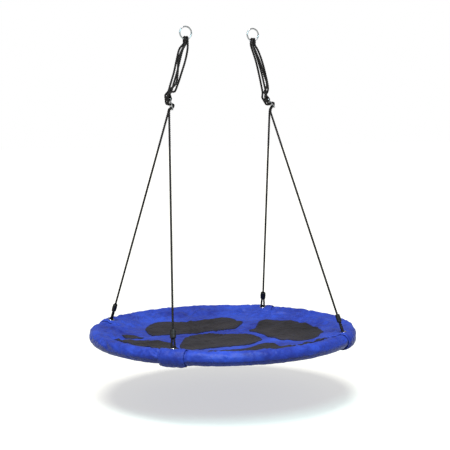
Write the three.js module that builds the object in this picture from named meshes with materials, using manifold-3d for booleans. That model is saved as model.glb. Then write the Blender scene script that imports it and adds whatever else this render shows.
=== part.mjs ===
// Saucer nest swing: a round padded seat hung by two doubled ropes from two steel rings.
// Millimetres, +Z up, X from the left ring to the right ring, Y from front to back.
// Origin: midway between the points where the two beam hooks bear inside the tops of the rings.

import * as THREE from 'three';
import { mergeVertices } from 'three/addons/utils/BufferGeometryUtils.js';
import Module from 'manifold-3d';

// ------------------------------------------------------------------ driving dimensions
const RING_R = 25;            // ring, centre of its wire
const RING_WIRE_R = 3;        // 6 mm round wire
const RING_X = 149.5;         // each ring's distance from the middle
const HOOK_DROP = 2 * RING_R - RING_WIRE_R;   // hook's bearing point above the lowest point of the wire's centre

const ROPE_R = 4;             // 8 mm laid rope
const BIGHT_X = 5;            // the two bights over a ring, either side of its lowest point
const BIGHT_R = 8.8;          // centre line of a bight round the ring's wire
const BIGHT_Z = 0.6;          // its centre above the lowest point of the wire's centre
const BIGHT_END = -6;         // where a bight ends and the hanging rope begins

const SPLIT = { x: 227.1, z: -291.5, y: 4.6 };   // where the two legs part, below an adjuster

const RIM_RADIUS = 522.5;     // rim, centre line of the steel tube
const RIM_Z = -1201.4;        // its height below the lowest point of the ring wire's centre
const STEP = 9;               // degrees between the corners of every rim piece
const TUBE_R = 12.5, TUBE_WALL = 1.2;
const SPIGOT_R = 10.95, SPIGOT_BORE = 9.8, SPIGOT_DEG = 3;
const TUBE_JOINT_DEG = 3;     // first of the four joints between the tube's quarters
const FOAM_IN = 12.9, FOAM_OUT = 25.3, FOAM_GAP_DEG = 2;
const COVER_IN = 25.7, COVER_OUT = 27.5;
const BAND_IN = 27.85, BAND_OUT = 29.2, BAND_HALF_DEG = 6;
const SEAT_R = 494.6, SEAT_T = 3, SEAT_SAG = 20, SEAT_EDGE_DROP = 1.6;

const GROMMET_BORE = 10.3, GROMMET_BARREL = 10.9, GROMMET_FLANGE = 14, FABRIC_HOLE = 11.3;
const EYE_GAP = 4.4;          // each strand of an eye, from the rope's line
const EYE_LOOP_R = 17.6;      // eye, centre line round the tube
const EYE_TOP = 68;           // eye's strands end here, measured from the tube's centre along the rope
const FERRULE_START = 72, FERRULE_LEN = 34, FERRULE_W = 11.5, FERRULE_D = 8.5;
const LEG_SOCKET = 12;        // how far a leg goes into its ferrule

const PLATE = { half: 25, w: 14, t: 3, slot: 5, slotW: 9.3, pitch: 15 };
const ADJ = {
  left: { c: [-219, 0, -259], l: [0.2588, 0, -0.9659] },
  right: { c: [229, 0, -255], l: [0.6820, 0, -0.7314] },
};

// ------------------------------------------------------------------ helpers
const wasm = await Module();
wasm.setup();

const rad = THREE.MathUtils.degToRad;
const V = (x, y, z) => new THREE.Vector3(x, y, z);

function bare(geometry) {
  let g = geometry.clone();
  g.deleteAttribute('normal');
  g.deleteAttribute('uv');
  g = mergeVertices(g, 1e-4);
  return g;
}

function volumeOf(g) {
  const p = g.attributes.position, i = g.index;
  const a = V(0, 0, 0), b = V(0, 0, 0), c = V(0, 0, 0);
  let v = 0;
  for (let k = 0; k < i.count; k += 3) {
    a.fromBufferAttribute(p, i.getX(k)); b.fromBufferAttribute(p, i.getX(k + 1)); c.fromBufferAttribute(p, i.getX(k + 2));
    v += a.dot(b.cross(c)) / 6;
  }
  return v;
}

// a geometry with merged corners and its faces pointing out
function outward(geometry) {
  const g = bare(geometry);
  if (volumeOf(g) < 0) {
    const i = g.index.array;
    for (let k = 0; k < i.length; k += 3) { const t = i[k]; i[k] = i[k + 1]; i[k + 1] = t; }
  }
  g.computeVertexNormals();
  return g;
}

function solid(geometry, matrix) {
  const g = geometry.clone();
  if (matrix) g.applyMatrix4(matrix);
  const o = outward(g);
  return new wasm.Manifold(new wasm.Mesh({
    numProp: 3,
    vertProperties: new Float32Array(o.attributes.position.array),
    triVerts: new Uint32Array(o.index.array),
  }));
}

function geometryOf(manifold) {
  const m = manifold.getMesh();
  const g = new THREE.BufferGeometry();
  const n = m.numProp, count = m.vertProperties.length / n;
  const pos = new Float32Array(count * 3);
  for (let k = 0; k < count; k++) for (let c = 0; c < 3; c++) pos[k * 3 + c] = m.vertProperties[k * n + c];
  g.setAttribute('position', new THREE.BufferAttribute(pos, 3));
  g.setIndex(new THREE.BufferAttribute(new Uint32Array(m.triVerts), 1));
  g.computeVertexNormals();
  return g;
}

// a round rope or rod along a smooth curve through the given points
function ropeGeometry(points, radius, sides, steps) {
  const shape = new THREE.Shape();
  for (let k = 0; k < sides; k++) {
    const a = (2 * Math.PI * k) / sides;
    if (k === 0) shape.moveTo(radius * Math.cos(a), radius * Math.sin(a));
    else shape.lineTo(radius * Math.cos(a), radius * Math.sin(a));
  }
  shape.closePath();
  const path = points.length === 2
    ? new THREE.LineCurve3(points[0], points[1])
    : new THREE.CatmullRomCurve3(points, false, 'centripetal');
  return outward(new THREE.ExtrudeGeometry(shape, { steps, bevelEnabled: false, extrudePath: path }));
}

// a full ring about Z from a closed profile of [radius, height] points, with its corners at 45 degrees and every STEP from it
function ringFromProfile(profile) {
  const pts = profile.map(([r, z]) => new THREE.Vector2(r, z));
  pts.push(pts[0].clone());
  const g = new THREE.LatheGeometry(pts, 360 / STEP);
  g.rotateX(Math.PI / 2);
  return g;
}

function rimProfile(r, sides) {
  const out = [];
  for (let k = 0; k < sides; k++) {
    const a = (2 * Math.PI * k) / sides;
    out.push([RIM_RADIUS + r * Math.cos(a), RIM_Z + r * Math.sin(a)]);
  }
  return out;
}
const rimRing = (r, sides = 10) => solid(ringFromProfile(rimProfile(r, sides)));

// a wedge about Z between two angles, tall enough to hold the rim
function wedge(a0, a1) {
  const L = 900, mid = (a0 + a1) / 2;
  const s = new THREE.Shape();
  s.moveTo(0, 0);
  for (const a of [a0, mid, a1]) s.lineTo(L * Math.cos(rad(a)), L * Math.sin(rad(a)));
  s.closePath();
  const g = new THREE.ExtrudeGeometry(s, { depth: 160, bevelEnabled: false, steps: 1 });
  g.translate(0, 0, RIM_Z - 80);
  return solid(g);
}

// a cylinder from point a to point b
function rod(a, b, r, sides = 16) {
  const d = b.clone().sub(a);
  const g = new THREE.CylinderGeometry(r, r, d.length(), sides, 1);
  const q = new THREE.Quaternion().setFromUnitVectors(V(0, 1, 0), d.clone().normalize());
  g.applyQuaternion(q);
  g.translate((a.x + b.x) / 2, (a.y + b.y) / 2, (a.z + b.z) / 2);
  return g;
}

// a turned piece: profile of [radius, height] from axis to axis, or closed on itself, about the direction dir at the point at
function turned(profile, at, dir, sides = 24, closed = false) {
  const pts = profile.map(([r, h]) => new THREE.Vector2(r, h));
  if (closed) pts.push(pts[0].clone());
  const g = new THREE.LatheGeometry(pts, sides);
  g.applyQuaternion(new THREE.Quaternion().setFromUnitVectors(V(0, 1, 0), dir));
  g.translate(at.x, at.y, at.z);
  return g;
}

// ------------------------------------------------------------------ materials
const paint = {
  steel: { color: 0xc9ccd0, roughness: 0.28, metalness: 1.0 },
  zinc: { color: 0xa9adb2, roughness: 0.45, metalness: 0.9 },
  rope: { color: 0x0f0f11, roughness: 0.75, metalness: 0.0 },
  ferrule: { color: 0x131315, roughness: 0.5, metalness: 0.0 },
  foam: { color: 0x3a3b3e, roughness: 0.95, metalness: 0.0 },
  blue: { color: 0x2f3fb0, roughness: 0.6, metalness: 0.0 },
  grey: { color: 0x35333c, roughness: 0.7, metalness: 0.0 },
};
const swing = new THREE.Group();
const frame = new THREE.Group();          // everything is laid out from the lowest point of the ring wires' centres
frame.position.set(0, 0, -HOOK_DROP);
swing.add(frame);

function add(name, geometry, look) {
  const mesh = new THREE.Mesh(geometry, new THREE.MeshStandardMaterial(paint[look]));
  mesh.name = name;
  frame.add(mesh);
  return mesh;
}

// ------------------------------------------------------------------ rings, and the bights of rope over them
for (const [side, s] of [['left', -1], ['right', 1]]) {
  const torus = new THREE.TorusGeometry(RING_R, RING_WIRE_R, 8, 28);
  torus.rotateX(Math.PI / 2);
  const ring = add(`ring_${side}`, outward(torus), 'steel');
  ring.position.set(s * RING_X, 0, RING_R);

  for (const [which, o] of [['a', -BIGHT_X], ['b', BIGHT_X]]) {
    const pts = [V(0, -BIGHT_R, BIGHT_END)];
    for (let k = 0; k <= 8; k++) {
      const a = Math.PI - (Math.PI * k) / 8;
      pts.push(V(0, BIGHT_R * Math.cos(a), BIGHT_Z + BIGHT_R * Math.sin(a)));
    }
    pts.push(V(0, BIGHT_R, BIGHT_END));
    const bight = add(`rope_bight_${side}_${which}`, ropeGeometry(pts, ROPE_R, 8, 9), 'rope');
    bight.position.set(s * RING_X + o, 0, 0);
  }
}

// ------------------------------------------------------------------ adjusters: a plate with three slots, and the rope through it
const adjusterFrame = {};
for (const side of ['left', 'right']) {
  const c = V(...ADJ[side].c);
  const l = V(...ADJ[side].l).normalize();          // along the plate, down the rope
  const w = V(0, 1, 0);                             // across the plate
  const n = w.clone().cross(l).normalize().negate();  // out of the plate, to the right
  adjusterFrame[side] = (a, b, y) => c.clone().addScaledVector(l, a).addScaledVector(n, b).addScaledVector(w, y);
  const P = PLATE;

  const s = new THREE.Shape();                      // outline in (along, across)
  const k = 6;
  s.moveTo(-P.half + k, -P.w);
  s.lineTo(P.half - k, -P.w); s.absarc(P.half - k, -P.w + k, k, -Math.PI / 2, 0, false);
  s.lineTo(P.half, P.w - k); s.absarc(P.half - k, P.w - k, k, 0, Math.PI / 2, false);
  s.lineTo(-P.half + k, P.w); s.absarc(-P.half + k, P.w - k, k, Math.PI / 2, Math.PI, false);
  s.lineTo(-P.half, -P.w + k); s.absarc(-P.half + k, -P.w + k, k, Math.PI, Math.PI * 1.5, false);
  for (const m of [-P.pitch, 0, P.pitch]) {
    const h = new THREE.Path(), q = 3;
    h.moveTo(m - P.slot + q, -P.slotW);
    h.lineTo(m + P.slot - q, -P.slotW); h.absarc(m + P.slot - q, -P.slotW + q, q, -Math.PI / 2, 0, false);
    h.lineTo(m + P.slot, P.slotW - q); h.absarc(m + P.slot - q, P.slotW - q, q, 0, Math.PI / 2, false);
    h.lineTo(m - P.slot + q, P.slotW); h.absarc(m - P.slot + q, P.slotW - q, q, Math.PI / 2, Math.PI, false);
    h.lineTo(m - P.slot, -P.slotW + q); h.absarc(m - P.slot + q, -P.slotW + q, q, Math.PI, Math.PI * 1.5, false);
    s.holes.push(h);
  }
  const plate = new THREE.ExtrudeGeometry(s, { depth: P.t, bevelEnabled: false, curveSegments: 2 });
  plate.translate(0, 0, -P.t / 2);
  plate.applyMatrix4(new THREE.Matrix4().makeBasis(l, w, l.clone().cross(w)));
  plate.translate(c.x, c.y, c.z);
  add(`adjuster_${side}`, outward(plate), 'steel');

  const at = adjusterFrame[side];
  // the closed end of the doubled rope, through the upper slot and round the plate's top bar
  const b = SPLIT.y;
  add(`rope_loop_${side}`, ropeGeometry([
    at(-37, 6, b), at(-26, 6.5, b), at(-17.5, 5.5, b), at(-15, 0, b), at(-17, -7.5, b), at(-23, -10.5, b), at(-29, -10, b),
    at(-33.5, -10, 0),
    at(-29, -10, -b), at(-23, -10.5, -b), at(-17, -7.5, -b), at(-15, 0, -b), at(-17.5, 5.5, -b), at(-26, 6.5, -b), at(-37, 6, -b),
  ], ROPE_R, 8, 22), 'rope');

  // the two running ropes, through the middle slot, round the bar and back through the lower slot
  for (const [which, y] of [['front', -b], ['back', b]]) {
    const end = V((side === 'left' ? -1 : 1) * SPLIT.x, y, SPLIT.z);
    const pts = [
      at(-15, -21, y), at(-10.5, -20.4, y), at(-5.2, -16.6, y), at(-1.2, -9.5, y), at(0, -2.5, y), at(0, 2.5, y),
      at(2.2, 7.8, y), at(7.5, 10, y), at(12.8, 7.8, y), at(15, 2.5, y), at(15, -2.5, y),
    ];
    if (side === 'left') pts.push(at(18, -9.5, y), at(24, -14, y)); else pts.push(at(15.6, -10, y), at(19, -18.5, y));
    pts.push(end);
    add(`rope_turn_${side}_${which}`, ropeGeometry(pts, ROPE_R, 8, 17), 'rope');
  }

  // four strands between the ring and the adjuster, each a little bowed out from the straight line
  const x0 = (side === 'left' ? -1 : 1) * RING_X;
  const z0 = BIGHT_END - 1.0;
  const e = at(-30, -5, 0);
  const line = (t, dx, y) => V(x0 + (e.x - x0) * t + dx, y, z0 + (e.z - z0) * t);
  const T = [0.14, 0.34, 0.56, 0.76, 0.9];
  const bow = side === 'left'
    ? { runBack: [-10, -17, -17, -23, -24], runFront: [0, -6, -7, -12, -20], retFront: [-6, -8, -4, -3], retBack: [11, 17, 16, 18] }
    : { runBack: [-10, -13, -16, -24, -24], runFront: [0, -3, -6, -13, -19], retFront: [-5, -1, 1, -1], retBack: [11, 13, 13, 12] };
  const strand = (name, topX, topY, ys, dxs, tail) => {
    const pts = [V(topX, topY, z0), V(topX, topY, z0 - 9)];
    dxs.forEach((dx, k) => pts.push(line(T[k], dx, ys[k])));
    pts.push(...tail);
    add(name, ropeGeometry(pts, ROPE_R, 8, 11), 'rope');
  };
  strand(`rope_strand_${side}_run_back`, x0 - BIGHT_X, BIGHT_R, [9, 9, 8.5, 7.5, 6.5], bow.runBack, [at(-36, -21.5, b), at(-24, -21, b), at(-16.2, -21, b)]);
  strand(`rope_strand_${side}_run_front`, x0 + BIGHT_X, BIGHT_R, [8.5, 5, 1, -3, -4.6], bow.runFront, [at(-36, -21.5, -b), at(-24, -21, -b), at(-16.2, -21, -b)]);
  strand(`rope_strand_${side}_return_front`, x0 - BIGHT_X, -BIGHT_R, [-9, -10, -10.5, -11], bow.retFront, [at(-56, 6, -b - 2), at(-46, 6, -b), at(-38.2, 6, -b)]);
  strand(`rope_strand_${side}_return_back`, x0 + BIGHT_X, -BIGHT_R, [-8, -4, 1, 4], bow.retBack, [at(-54, 9, b), at(-46, 6.5, b), at(-38.2, 6, b)]);
}

// ------------------------------------------------------------------ the four legs, ferrules, eyes and grommets
const corners = [
  ['front_left', -1, -1], ['back_left', -1, 1], ['front_right', 1, -1], ['back_right', 1, 1],
];
const corner = {};
for (const [name, sx, sy] of corners) {
  const r = V(sx, sy, 0).normalize();                         // outwards
  const t = V(-r.y, r.x, 0);                                  // along the tube
  const centre = r.clone().multiplyScalar(RIM_RADIUS).add(V(0, 0, RIM_Z));
  const start = V(sx * SPLIT.x, sy * SPLIT.y, SPLIT.z);
  const up = start.clone().sub(centre).normalize();           // up the rope
  const n = up.clone().addScaledVector(t, -up.dot(t)).normalize();   // square to the tube, towards the rope
  const b = t.clone().cross(n).normalize();
  const slant = up.dot(t) / up.dot(n);
  corner[name] = { r, t, centre, start, up, n, b, slant, on: (h) => centre.clone().addScaledVector(n, h).addScaledVector(t, slant * h) };
  const C = corner[name];
  const side = sx < 0 ? 'left' : 'right';

  // leg: from the split to the socket in its ferrule
  const legEnd = centre.clone().addScaledVector(up, FERRULE_START + FERRULE_LEN - LEG_SOCKET + 0.4);
  const legDir = legEnd.clone().sub(start).normalize();
  add(`rope_leg_${name}`, ropeGeometry([start.clone().addScaledVector(legDir, 1.2).add(V(0, sy * 0.6, -0.6)), legEnd], ROPE_R, 8, 3), 'rope');

  // ferrule: an oval sleeve with softened ends and a socket for the leg
  const across = t.clone().addScaledVector(up, -t.dot(up)).normalize();
  const deep = across.clone().cross(up).normalize();
  const h = FERRULE_LEN;
  const prof = [[0, 0], [0.8, 0], [1, 6], [1, h - 6], [0.75, h], [0, h]];
  const fer = new THREE.LatheGeometry(prof.map(([q, y]) => new THREE.Vector2(q, y)), 14);
  const fm = new THREE.Matrix4().makeBasis(
    across.clone().multiplyScalar(FERRULE_W), up.clone(), deep.clone().negate().multiplyScalar(FERRULE_D));
  fm.setPosition(centre.clone().addScaledVector(up, FERRULE_START));
  const socket = rod(centre.clone().addScaledVector(up, FERRULE_START + h - LEG_SOCKET), centre.clone().addScaledVector(up, FERRULE_START + h + 5), ROPE_R + 0.5, 12);
  add(`ferrule_${name}`, geometryOf(solid(fer, fm).subtract(solid(socket))), 'ferrule');

  // eye: down one side of the rope's line, once round the tube and back up
  const eye = [];
  for (const hgt of [EYE_TOP, 50, 36, 26]) eye.push(centre.clone().addScaledVector(up, hgt).addScaledVector(across, -EYE_GAP));
  const loop = [[58, 18.6], [88, EYE_LOOP_R], [118, EYE_LOOP_R], [148, EYE_LOOP_R], [180, EYE_LOOP_R], [212, EYE_LOOP_R], [242, EYE_LOOP_R], [272, EYE_LOOP_R], [302, 18.6]];
  for (const [deg, rr] of loop) {
    const a = rad(deg);
    eye.push(centre.clone().addScaledVector(n, rr * Math.cos(a)).addScaledVector(b, rr * Math.sin(a))
      .addScaledVector(t, -EYE_GAP + (2 * EYE_GAP * (deg - 20)) / 320 + slant * rr * Math.cos(a) * Math.max(0, Math.cos(a))));
  }
  for (const hgt of [26, 36, 50, EYE_TOP]) eye.push(centre.clone().addScaledVector(up, hgt).addScaledVector(across, EYE_GAP));
  add(`rope_eye_${name}`, ropeGeometry(eye, ROPE_R, 8, 22), 'rope');

  // grommet: flange and barrel in one
  const gp = [[GROMMET_BORE, 25.2], [GROMMET_BARREL, 25.2], [GROMMET_BARREL, 29.7], [GROMMET_FLANGE, 29.7], [12.2, 31.5], [GROMMET_BORE, 30.2]];
  const foot = centre.clone().addScaledVector(t, slant * 28.5);
  add(`grommet_${name}`, outward(turned(gp, foot, n, 18, true)), 'steel');
  C.hole = rod(foot.clone().addScaledVector(n, 18), foot.clone().addScaledVector(n, 40), FABRIC_HOLE, 14);
}

// ------------------------------------------------------------------ rim: tube in four quarters, screws, foam, cover, bands
const ringOut = rimRing(TUBE_R, 8), ringIn = rimRing(TUBE_R - TUBE_WALL, 8);
const spigotOut = rimRing(SPIGOT_R, 8), spigotIn = rimRing(SPIGOT_BORE, 8);
const foamOut = rimRing(FOAM_OUT), foamIn = rimRing(FOAM_IN, 8);
const names = ['right_back', 'back_left', 'left_front', 'front_right'];

const screwAt = [];
for (let k = 0; k < 4; k++) {
  const a = TUBE_JOINT_DEG + 90 * k + SPIGOT_DEG / 2;
  const m = Math.cos(rad(STEP / 2)) / Math.cos(rad(a % STEP - STEP / 2));
  screwAt.push(V(RIM_RADIUS * m * Math.cos(rad(a)), RIM_RADIUS * m * Math.sin(rad(a)), RIM_Z));
}
for (let k = 0; k < 4; k++) {
  const a0 = TUBE_JOINT_DEG + 90 * k, a1 = a0 + 90;
  let tube = ringOut.subtract(ringIn).intersect(wedge(a0 + 0.06, a1));
  const swage = ringOut.subtract(spigotIn).intersect(wedge(a1 - 1.2, a1));
  const spigot = spigotOut.subtract(spigotIn).intersect(wedge(a1 - 0.8, a1 + SPIGOT_DEG));
  tube = tube.add(swage).add(spigot);
  for (const q of [screwAt[k], screwAt[(k + 1) % 4]]) {
    tube = tube.subtract(solid(rod(q.clone().add(V(0, 0, -5)), q.clone().add(V(0, 0, -18)), 2.5, 8)));
  }
  add(`rim_tube_${names[k]}`, geometryOf(tube), 'zinc');

  const q = screwAt[k];
  add(`rim_screw_${k + 1}`, outward(turned([[0, -6.4], [2.0, -6.8], [2.0, -12.9], [4.2, -12.9], [4.2, -14.2], [2.6, -15.4], [0, -15.6]], q, V(0, 0, 1), 8)), 'zinc');
}
for (let k = 0; k < 4; k++) {
  const a0 = 45 + 90 * k + FOAM_GAP_DEG, a1 = 45 + 90 * (k + 1) - FOAM_GAP_DEG;
  let foam = foamOut.subtract(foamIn).intersect(wedge(a0, a1));
  const q = screwAt[(k + 1) % 4];
  foam = foam.subtract(solid(rod(q.clone().add(V(0, 0, -10)), q.clone().add(V(0, 0, -18)), 6, 8)));
  add(`foam_sleeve_${['back', 'left', 'front', 'right'][k]}`, geometryOf(foam), 'foam');
}

let cover = rimRing(COVER_OUT).subtract(rimRing(COVER_IN));
for (const [name] of corners) cover = cover.subtract(solid(corner[name].hole));
add('rim_cover', geometryOf(cover), 'blue');

const bandRing = rimRing(BAND_OUT).subtract(rimRing(BAND_IN));
const seatSlot = solid(ringFromProfile([
  [RIM_RADIUS - 60, RIM_Z - 13], [RIM_RADIUS - 21, RIM_Z - 13], [RIM_RADIUS - 21, RIM_Z + 11], [RIM_RADIUS - 60, RIM_Z + 11]]));
for (const [name, sx, sy] of corners) {
  const a = THREE.MathUtils.radToDeg(Math.atan2(sy, sx));
  const band = bandRing.intersect(wedge(a - BAND_HALF_DEG, a + BAND_HALF_DEG)).subtract(seatSlot).subtract(solid(corner[name].hole));
  add(`reinforcing_band_${name}`, geometryOf(band), 'blue');
}

// ------------------------------------------------------------------ seat: a shallow dished sheet across the rim
{
  const prof = [], rs = [0, 170, 340, SEAT_R];
  const z = (r) => RIM_Z - SEAT_EDGE_DROP - SEAT_SAG * (1 - (r / SEAT_R) ** 2);
  for (const r of rs) prof.push(new THREE.Vector2(r, z(r) - SEAT_T / 2));
  for (const r of rs.slice().reverse()) prof.push(new THREE.Vector2(r, z(r) + SEAT_T / 2));
  const g = new THREE.LatheGeometry(prof, 360 / STEP);
  g.rotateX(Math.PI / 2);
  add('seat_panel', outward(g), 'grey');
}

export default swing;
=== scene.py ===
import math

import bpy
import numpy as np
from mathutils import Matrix, Vector
from mathutils.geometry import delaunay_2d_cdt


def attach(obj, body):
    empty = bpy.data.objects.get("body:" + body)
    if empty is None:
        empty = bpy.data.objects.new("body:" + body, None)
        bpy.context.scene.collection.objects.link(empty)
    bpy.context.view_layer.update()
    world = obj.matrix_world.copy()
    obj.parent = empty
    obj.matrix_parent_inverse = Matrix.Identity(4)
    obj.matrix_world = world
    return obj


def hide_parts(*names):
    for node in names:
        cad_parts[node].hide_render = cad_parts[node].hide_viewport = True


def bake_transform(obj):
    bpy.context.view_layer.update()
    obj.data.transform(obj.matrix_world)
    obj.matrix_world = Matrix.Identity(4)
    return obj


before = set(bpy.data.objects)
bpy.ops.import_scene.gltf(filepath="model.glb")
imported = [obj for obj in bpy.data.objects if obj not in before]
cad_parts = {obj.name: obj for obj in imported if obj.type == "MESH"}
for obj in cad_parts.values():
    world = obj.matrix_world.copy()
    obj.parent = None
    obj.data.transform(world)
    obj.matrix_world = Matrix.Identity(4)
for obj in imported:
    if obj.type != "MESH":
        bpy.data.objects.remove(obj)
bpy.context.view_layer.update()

scene = bpy.context.scene
TAU = 2 * math.pi

# ------------------------------------------------------------------ camera
AZ, PITCH, ROLL = -0.42889, 0.08888, -0.0102
fw = np.array([-math.sin(AZ) * math.cos(PITCH), math.cos(AZ) * math.cos(PITCH), -math.sin(PITCH)])
right = np.array([math.cos(AZ), math.sin(AZ), 0.0])
up = np.cross(right, fw)
r2 = right * math.cos(ROLL) + up * math.sin(ROLL)
u2 = -right * math.sin(ROLL) + up * math.cos(ROLL)
cam_data = bpy.data.cameras.new("camera")
cam = bpy.data.objects.new("camera", cam_data)
scene.collection.objects.link(cam)
m = Matrix.Identity(4)
for i, col in enumerate((r2, u2, -fw, np.array([-1.82346, -4.02109, -0.40747]))):
    for j in range(3):
        m[j][i] = float(col[j])
cam.matrix_world = m
cam_data.sensor_width = 36.0
cam_data.lens = 86.03
cam_data.clip_start, cam_data.clip_end = 0.05, 200.0
scene.camera = cam

# ------------------------------------------------------------------ the object's own numbers, in metres
DROP = 0.047                      # origin above the lowest point of the ring wires' centres
RING_R, RING_W, RING_X = 0.025, 0.003, 0.1495
ROPE_R = 0.004
ROPE_SEEN = 0.0046                 # a laid rope measures a little more over its strands
RIM_R, RIM_Z = 0.5225, -1.2014 - DROP
COVER_R = 0.0275
SKIN_R = 0.0286                   # outside of the seat's cloth where it lies on the rim
SEAT_R, SAG, EDGE_DROP = 0.4946, 0.020, 0.0016


# ------------------------------------------------------------------ small helpers
def unit(v):
    v = np.asarray(v, float)
    return v / np.linalg.norm(v)


def smooth(t):
    t = np.clip(t, 0, 1)
    return t * t * (3 - 2 * t)


class Noise:
    """Gradient noise in three dimensions, the same on every run."""

    def __init__(self, seed):
        rng = np.random.default_rng(seed)
        self.p = np.concatenate([rng.permutation(256)] * 3)
        g = rng.normal(size=(256, 3))
        self.g = g / np.linalg.norm(g, axis=1)[:, None]

    def __call__(self, x, y, z=0.0):
        x, y, z = np.broadcast_arrays(np.asarray(x, float), np.asarray(y, float), np.asarray(z, float))
        P = np.stack([x, y, z], -1)
        i = np.floor(P).astype(int)
        f = P - i
        i &= 255
        w = f * f * f * (f * (f * 6 - 15) + 10)
        out = np.zeros(x.shape)
        for dx in (0, 1):
            for dy in (0, 1):
                for dz in (0, 1):
                    h = self.p[self.p[self.p[i[..., 0] + dx] + i[..., 1] + dy] + i[..., 2] + dz]
                    d = self.g[h % 256]
                    v = (d * (f - np.array([dx, dy, dz]))).sum(-1)
                    k = (w[..., 0] if dx else 1 - w[..., 0]) * (w[..., 1] if dy else 1 - w[..., 1]) * (w[..., 2] if dz else 1 - w[..., 2])
                    out += v * k
        return out * 1.6


N1, N2, N3, N4 = Noise(11), Noise(23), Noise(37), Noise(51)


def ridged(n):
    return 1 - np.sqrt(n * n + 0.004) * 2.2


def catmull(points, per=10):
    """A smooth centripetal Catmull-Rom curve through the points."""
    P = [np.array(p, float) for p in points]
    if len(P) == 2:
        return np.array([P[0] + (P[1] - P[0]) * t for t in np.linspace(0, 1, 40)])
    out = []
    n = len(P)
    for i in range(n - 1):
        p1, p2 = P[i], P[i + 1]
        p0 = P[i - 1] if i > 0 else 2 * P[0] - P[1]
        p3 = P[i + 2] if i + 2 < n else 2 * P[-1] - P[-2]
        d0, d1, d2 = (max(np.linalg.norm(b - a) ** 0.5, 1e-4) for a, b in ((p0, p1), (p1, p2), (p2, p3)))
        t1 = ((p1 - p0) / d0 - (p2 - p0) / (d0 + d1) + (p2 - p1) / d1) * d1
        t2 = ((p2 - p1) / d1 - (p3 - p1) / (d1 + d2) + (p3 - p2) / d2) * d1
        for k in range(per):
            t = k / per
            out.append(p1 * (2 * t**3 - 3 * t**2 + 1) + t1 * (t**3 - 2 * t**2 + t) + p2 * (-2 * t**3 + 3 * t**2) + t2 * (t**3 - t**2))
    out.append(P[-1])
    return np.array(out)


def evenly(line, step):
    d = np.concatenate([[0], np.cumsum(np.linalg.norm(np.diff(line, axis=0), axis=1))])
    n = max(3, int(round(d[-1] / step)) + 1)
    at = np.linspace(0, d[-1], n)
    return np.stack([np.interp(at, d, line[:, k]) for k in range(3)], 1)


def softened(line, passes):
    """The line with its corners eased; its ends stay."""
    for _ in range(passes):
        line = line.copy()
        line[1:-1] = (line[:-2] + 2 * line[1:-1] + line[2:]) / 4
    return line


def frames_along(line):
    T = np.gradient(line, axis=0)
    T /= np.linalg.norm(T, axis=1)[:, None]
    a = np.array([1.0, 0, 0]) if abs(T[0][0]) < 0.8 else np.array([0, 1.0, 0])
    n = unit(a - T[0] * (a @ T[0]))
    A = [n]
    for k in range(1, len(line)):
        n = unit(n - T[k] * (n @ T[k]))
        A.append(n)
    A = np.array(A)
    return T, A, np.cross(T, A)


def make(name, V, F, uv=None, flat=False):
    """A mesh object from points, faces and, for each corner of each face, its uv in metres."""
    me = bpy.data.meshes.new(name)
    V = np.asarray(V, float)
    me.from_pydata(V.tolist(), [], [list(map(int, f)) for f in F])
    if uv is not None:
        layer = me.uv_layers.new(name="UVMap")
        layer.data.foreach_set("uv", np.asarray(uv, np.float32).ravel())
    me.polygons.foreach_set("use_smooth", np.full(len(me.polygons), not flat))
    me.validate()
    me.update()
    o = bpy.data.objects.new(name, me)
    scene.collection.objects.link(o)
    return o


def grid(P, U, W, close_u=False, close_v=False):
    """Faces and corner uvs of a grid of points P[i][j]. U and W are the coordinates, one longer than the grid where it closes."""
    nu, nv = P.shape[:2]
    A, B = np.meshgrid(np.arange(nu if close_u else nu - 1), np.arange(nv if close_v else nv - 1), indexing="ij")
    A1, B1 = A + 1, B + 1
    a1, b1 = A1 % nu, B1 % nv
    F = np.stack([A * nv + B, a1 * nv + B, a1 * nv + b1, A * nv + b1], -1).reshape(-1, 4)
    U, W = np.asarray(U, float), np.asarray(W, float)
    uv = np.stack([
        np.stack([U[A], W[B]], -1), np.stack([U[A1], W[B]], -1), np.stack([U[A1], W[B1]], -1), np.stack([U[A], W[B1]], -1)], -2).reshape(-1, 2)
    return P.reshape(-1, 3), F, uv


def joined(parts):
    """Several (V, F, uv) as one; faces may have any number of corners."""
    V, F, uv, base = [], [], [], 0
    for v, f, u in parts:
        V.append(np.asarray(v, float))
        F += [[int(i) + base for i in q] for q in f]
        uv.append(np.asarray(u, float).reshape(-1, 2))
        base += len(v)
    return np.concatenate(V), F, np.concatenate(uv)


def place(o, body, *nodes, slot=None, material=None):
    if material is not None:
        o.data.materials.clear()
        o.data.materials.append(material)
    if body:
        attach(o, body)
    if nodes:
        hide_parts(*nodes)
    return o


# ------------------------------------------------------------------ materials
def shader(name):
    mat = bpy.data.materials.new(name)
    mat.use_nodes = True
    nt = mat.node_tree
    nt.nodes.clear()
    out = nt.nodes.new("ShaderNodeOutputMaterial")
    b = nt.nodes.new("ShaderNodeBsdfPrincipled")
    nt.links.new(b.outputs[0], out.inputs[0])
    return mat, nt, b


def node(nt, kind, **values):
    n = nt.nodes.new(kind)
    for k, v in values.items():
        if k.startswith("_"):
            setattr(n, k[1:], v)
        else:
            n.inputs[k.replace("_", " ")].default_value = v
    return n


def linear(c):
    return [x / 12.92 if x <= 0.04045 else ((x + 0.055) / 1.055) ** 2.4 for x in (v / 255 for v in c)] + [1.0]


def ramp(nt, source, stops):
    r = nt.nodes.new("ShaderNodeValToRGB")
    while len(r.color_ramp.elements) < len(stops):
        r.color_ramp.elements.new(0.5)
    for e, (at, c) in zip(r.color_ramp.elements, stops):
        e.position = at
        e.color = c if len(c) == 4 else list(c) + [1.0]
    nt.links.new(source, r.inputs[0])
    return r


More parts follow.
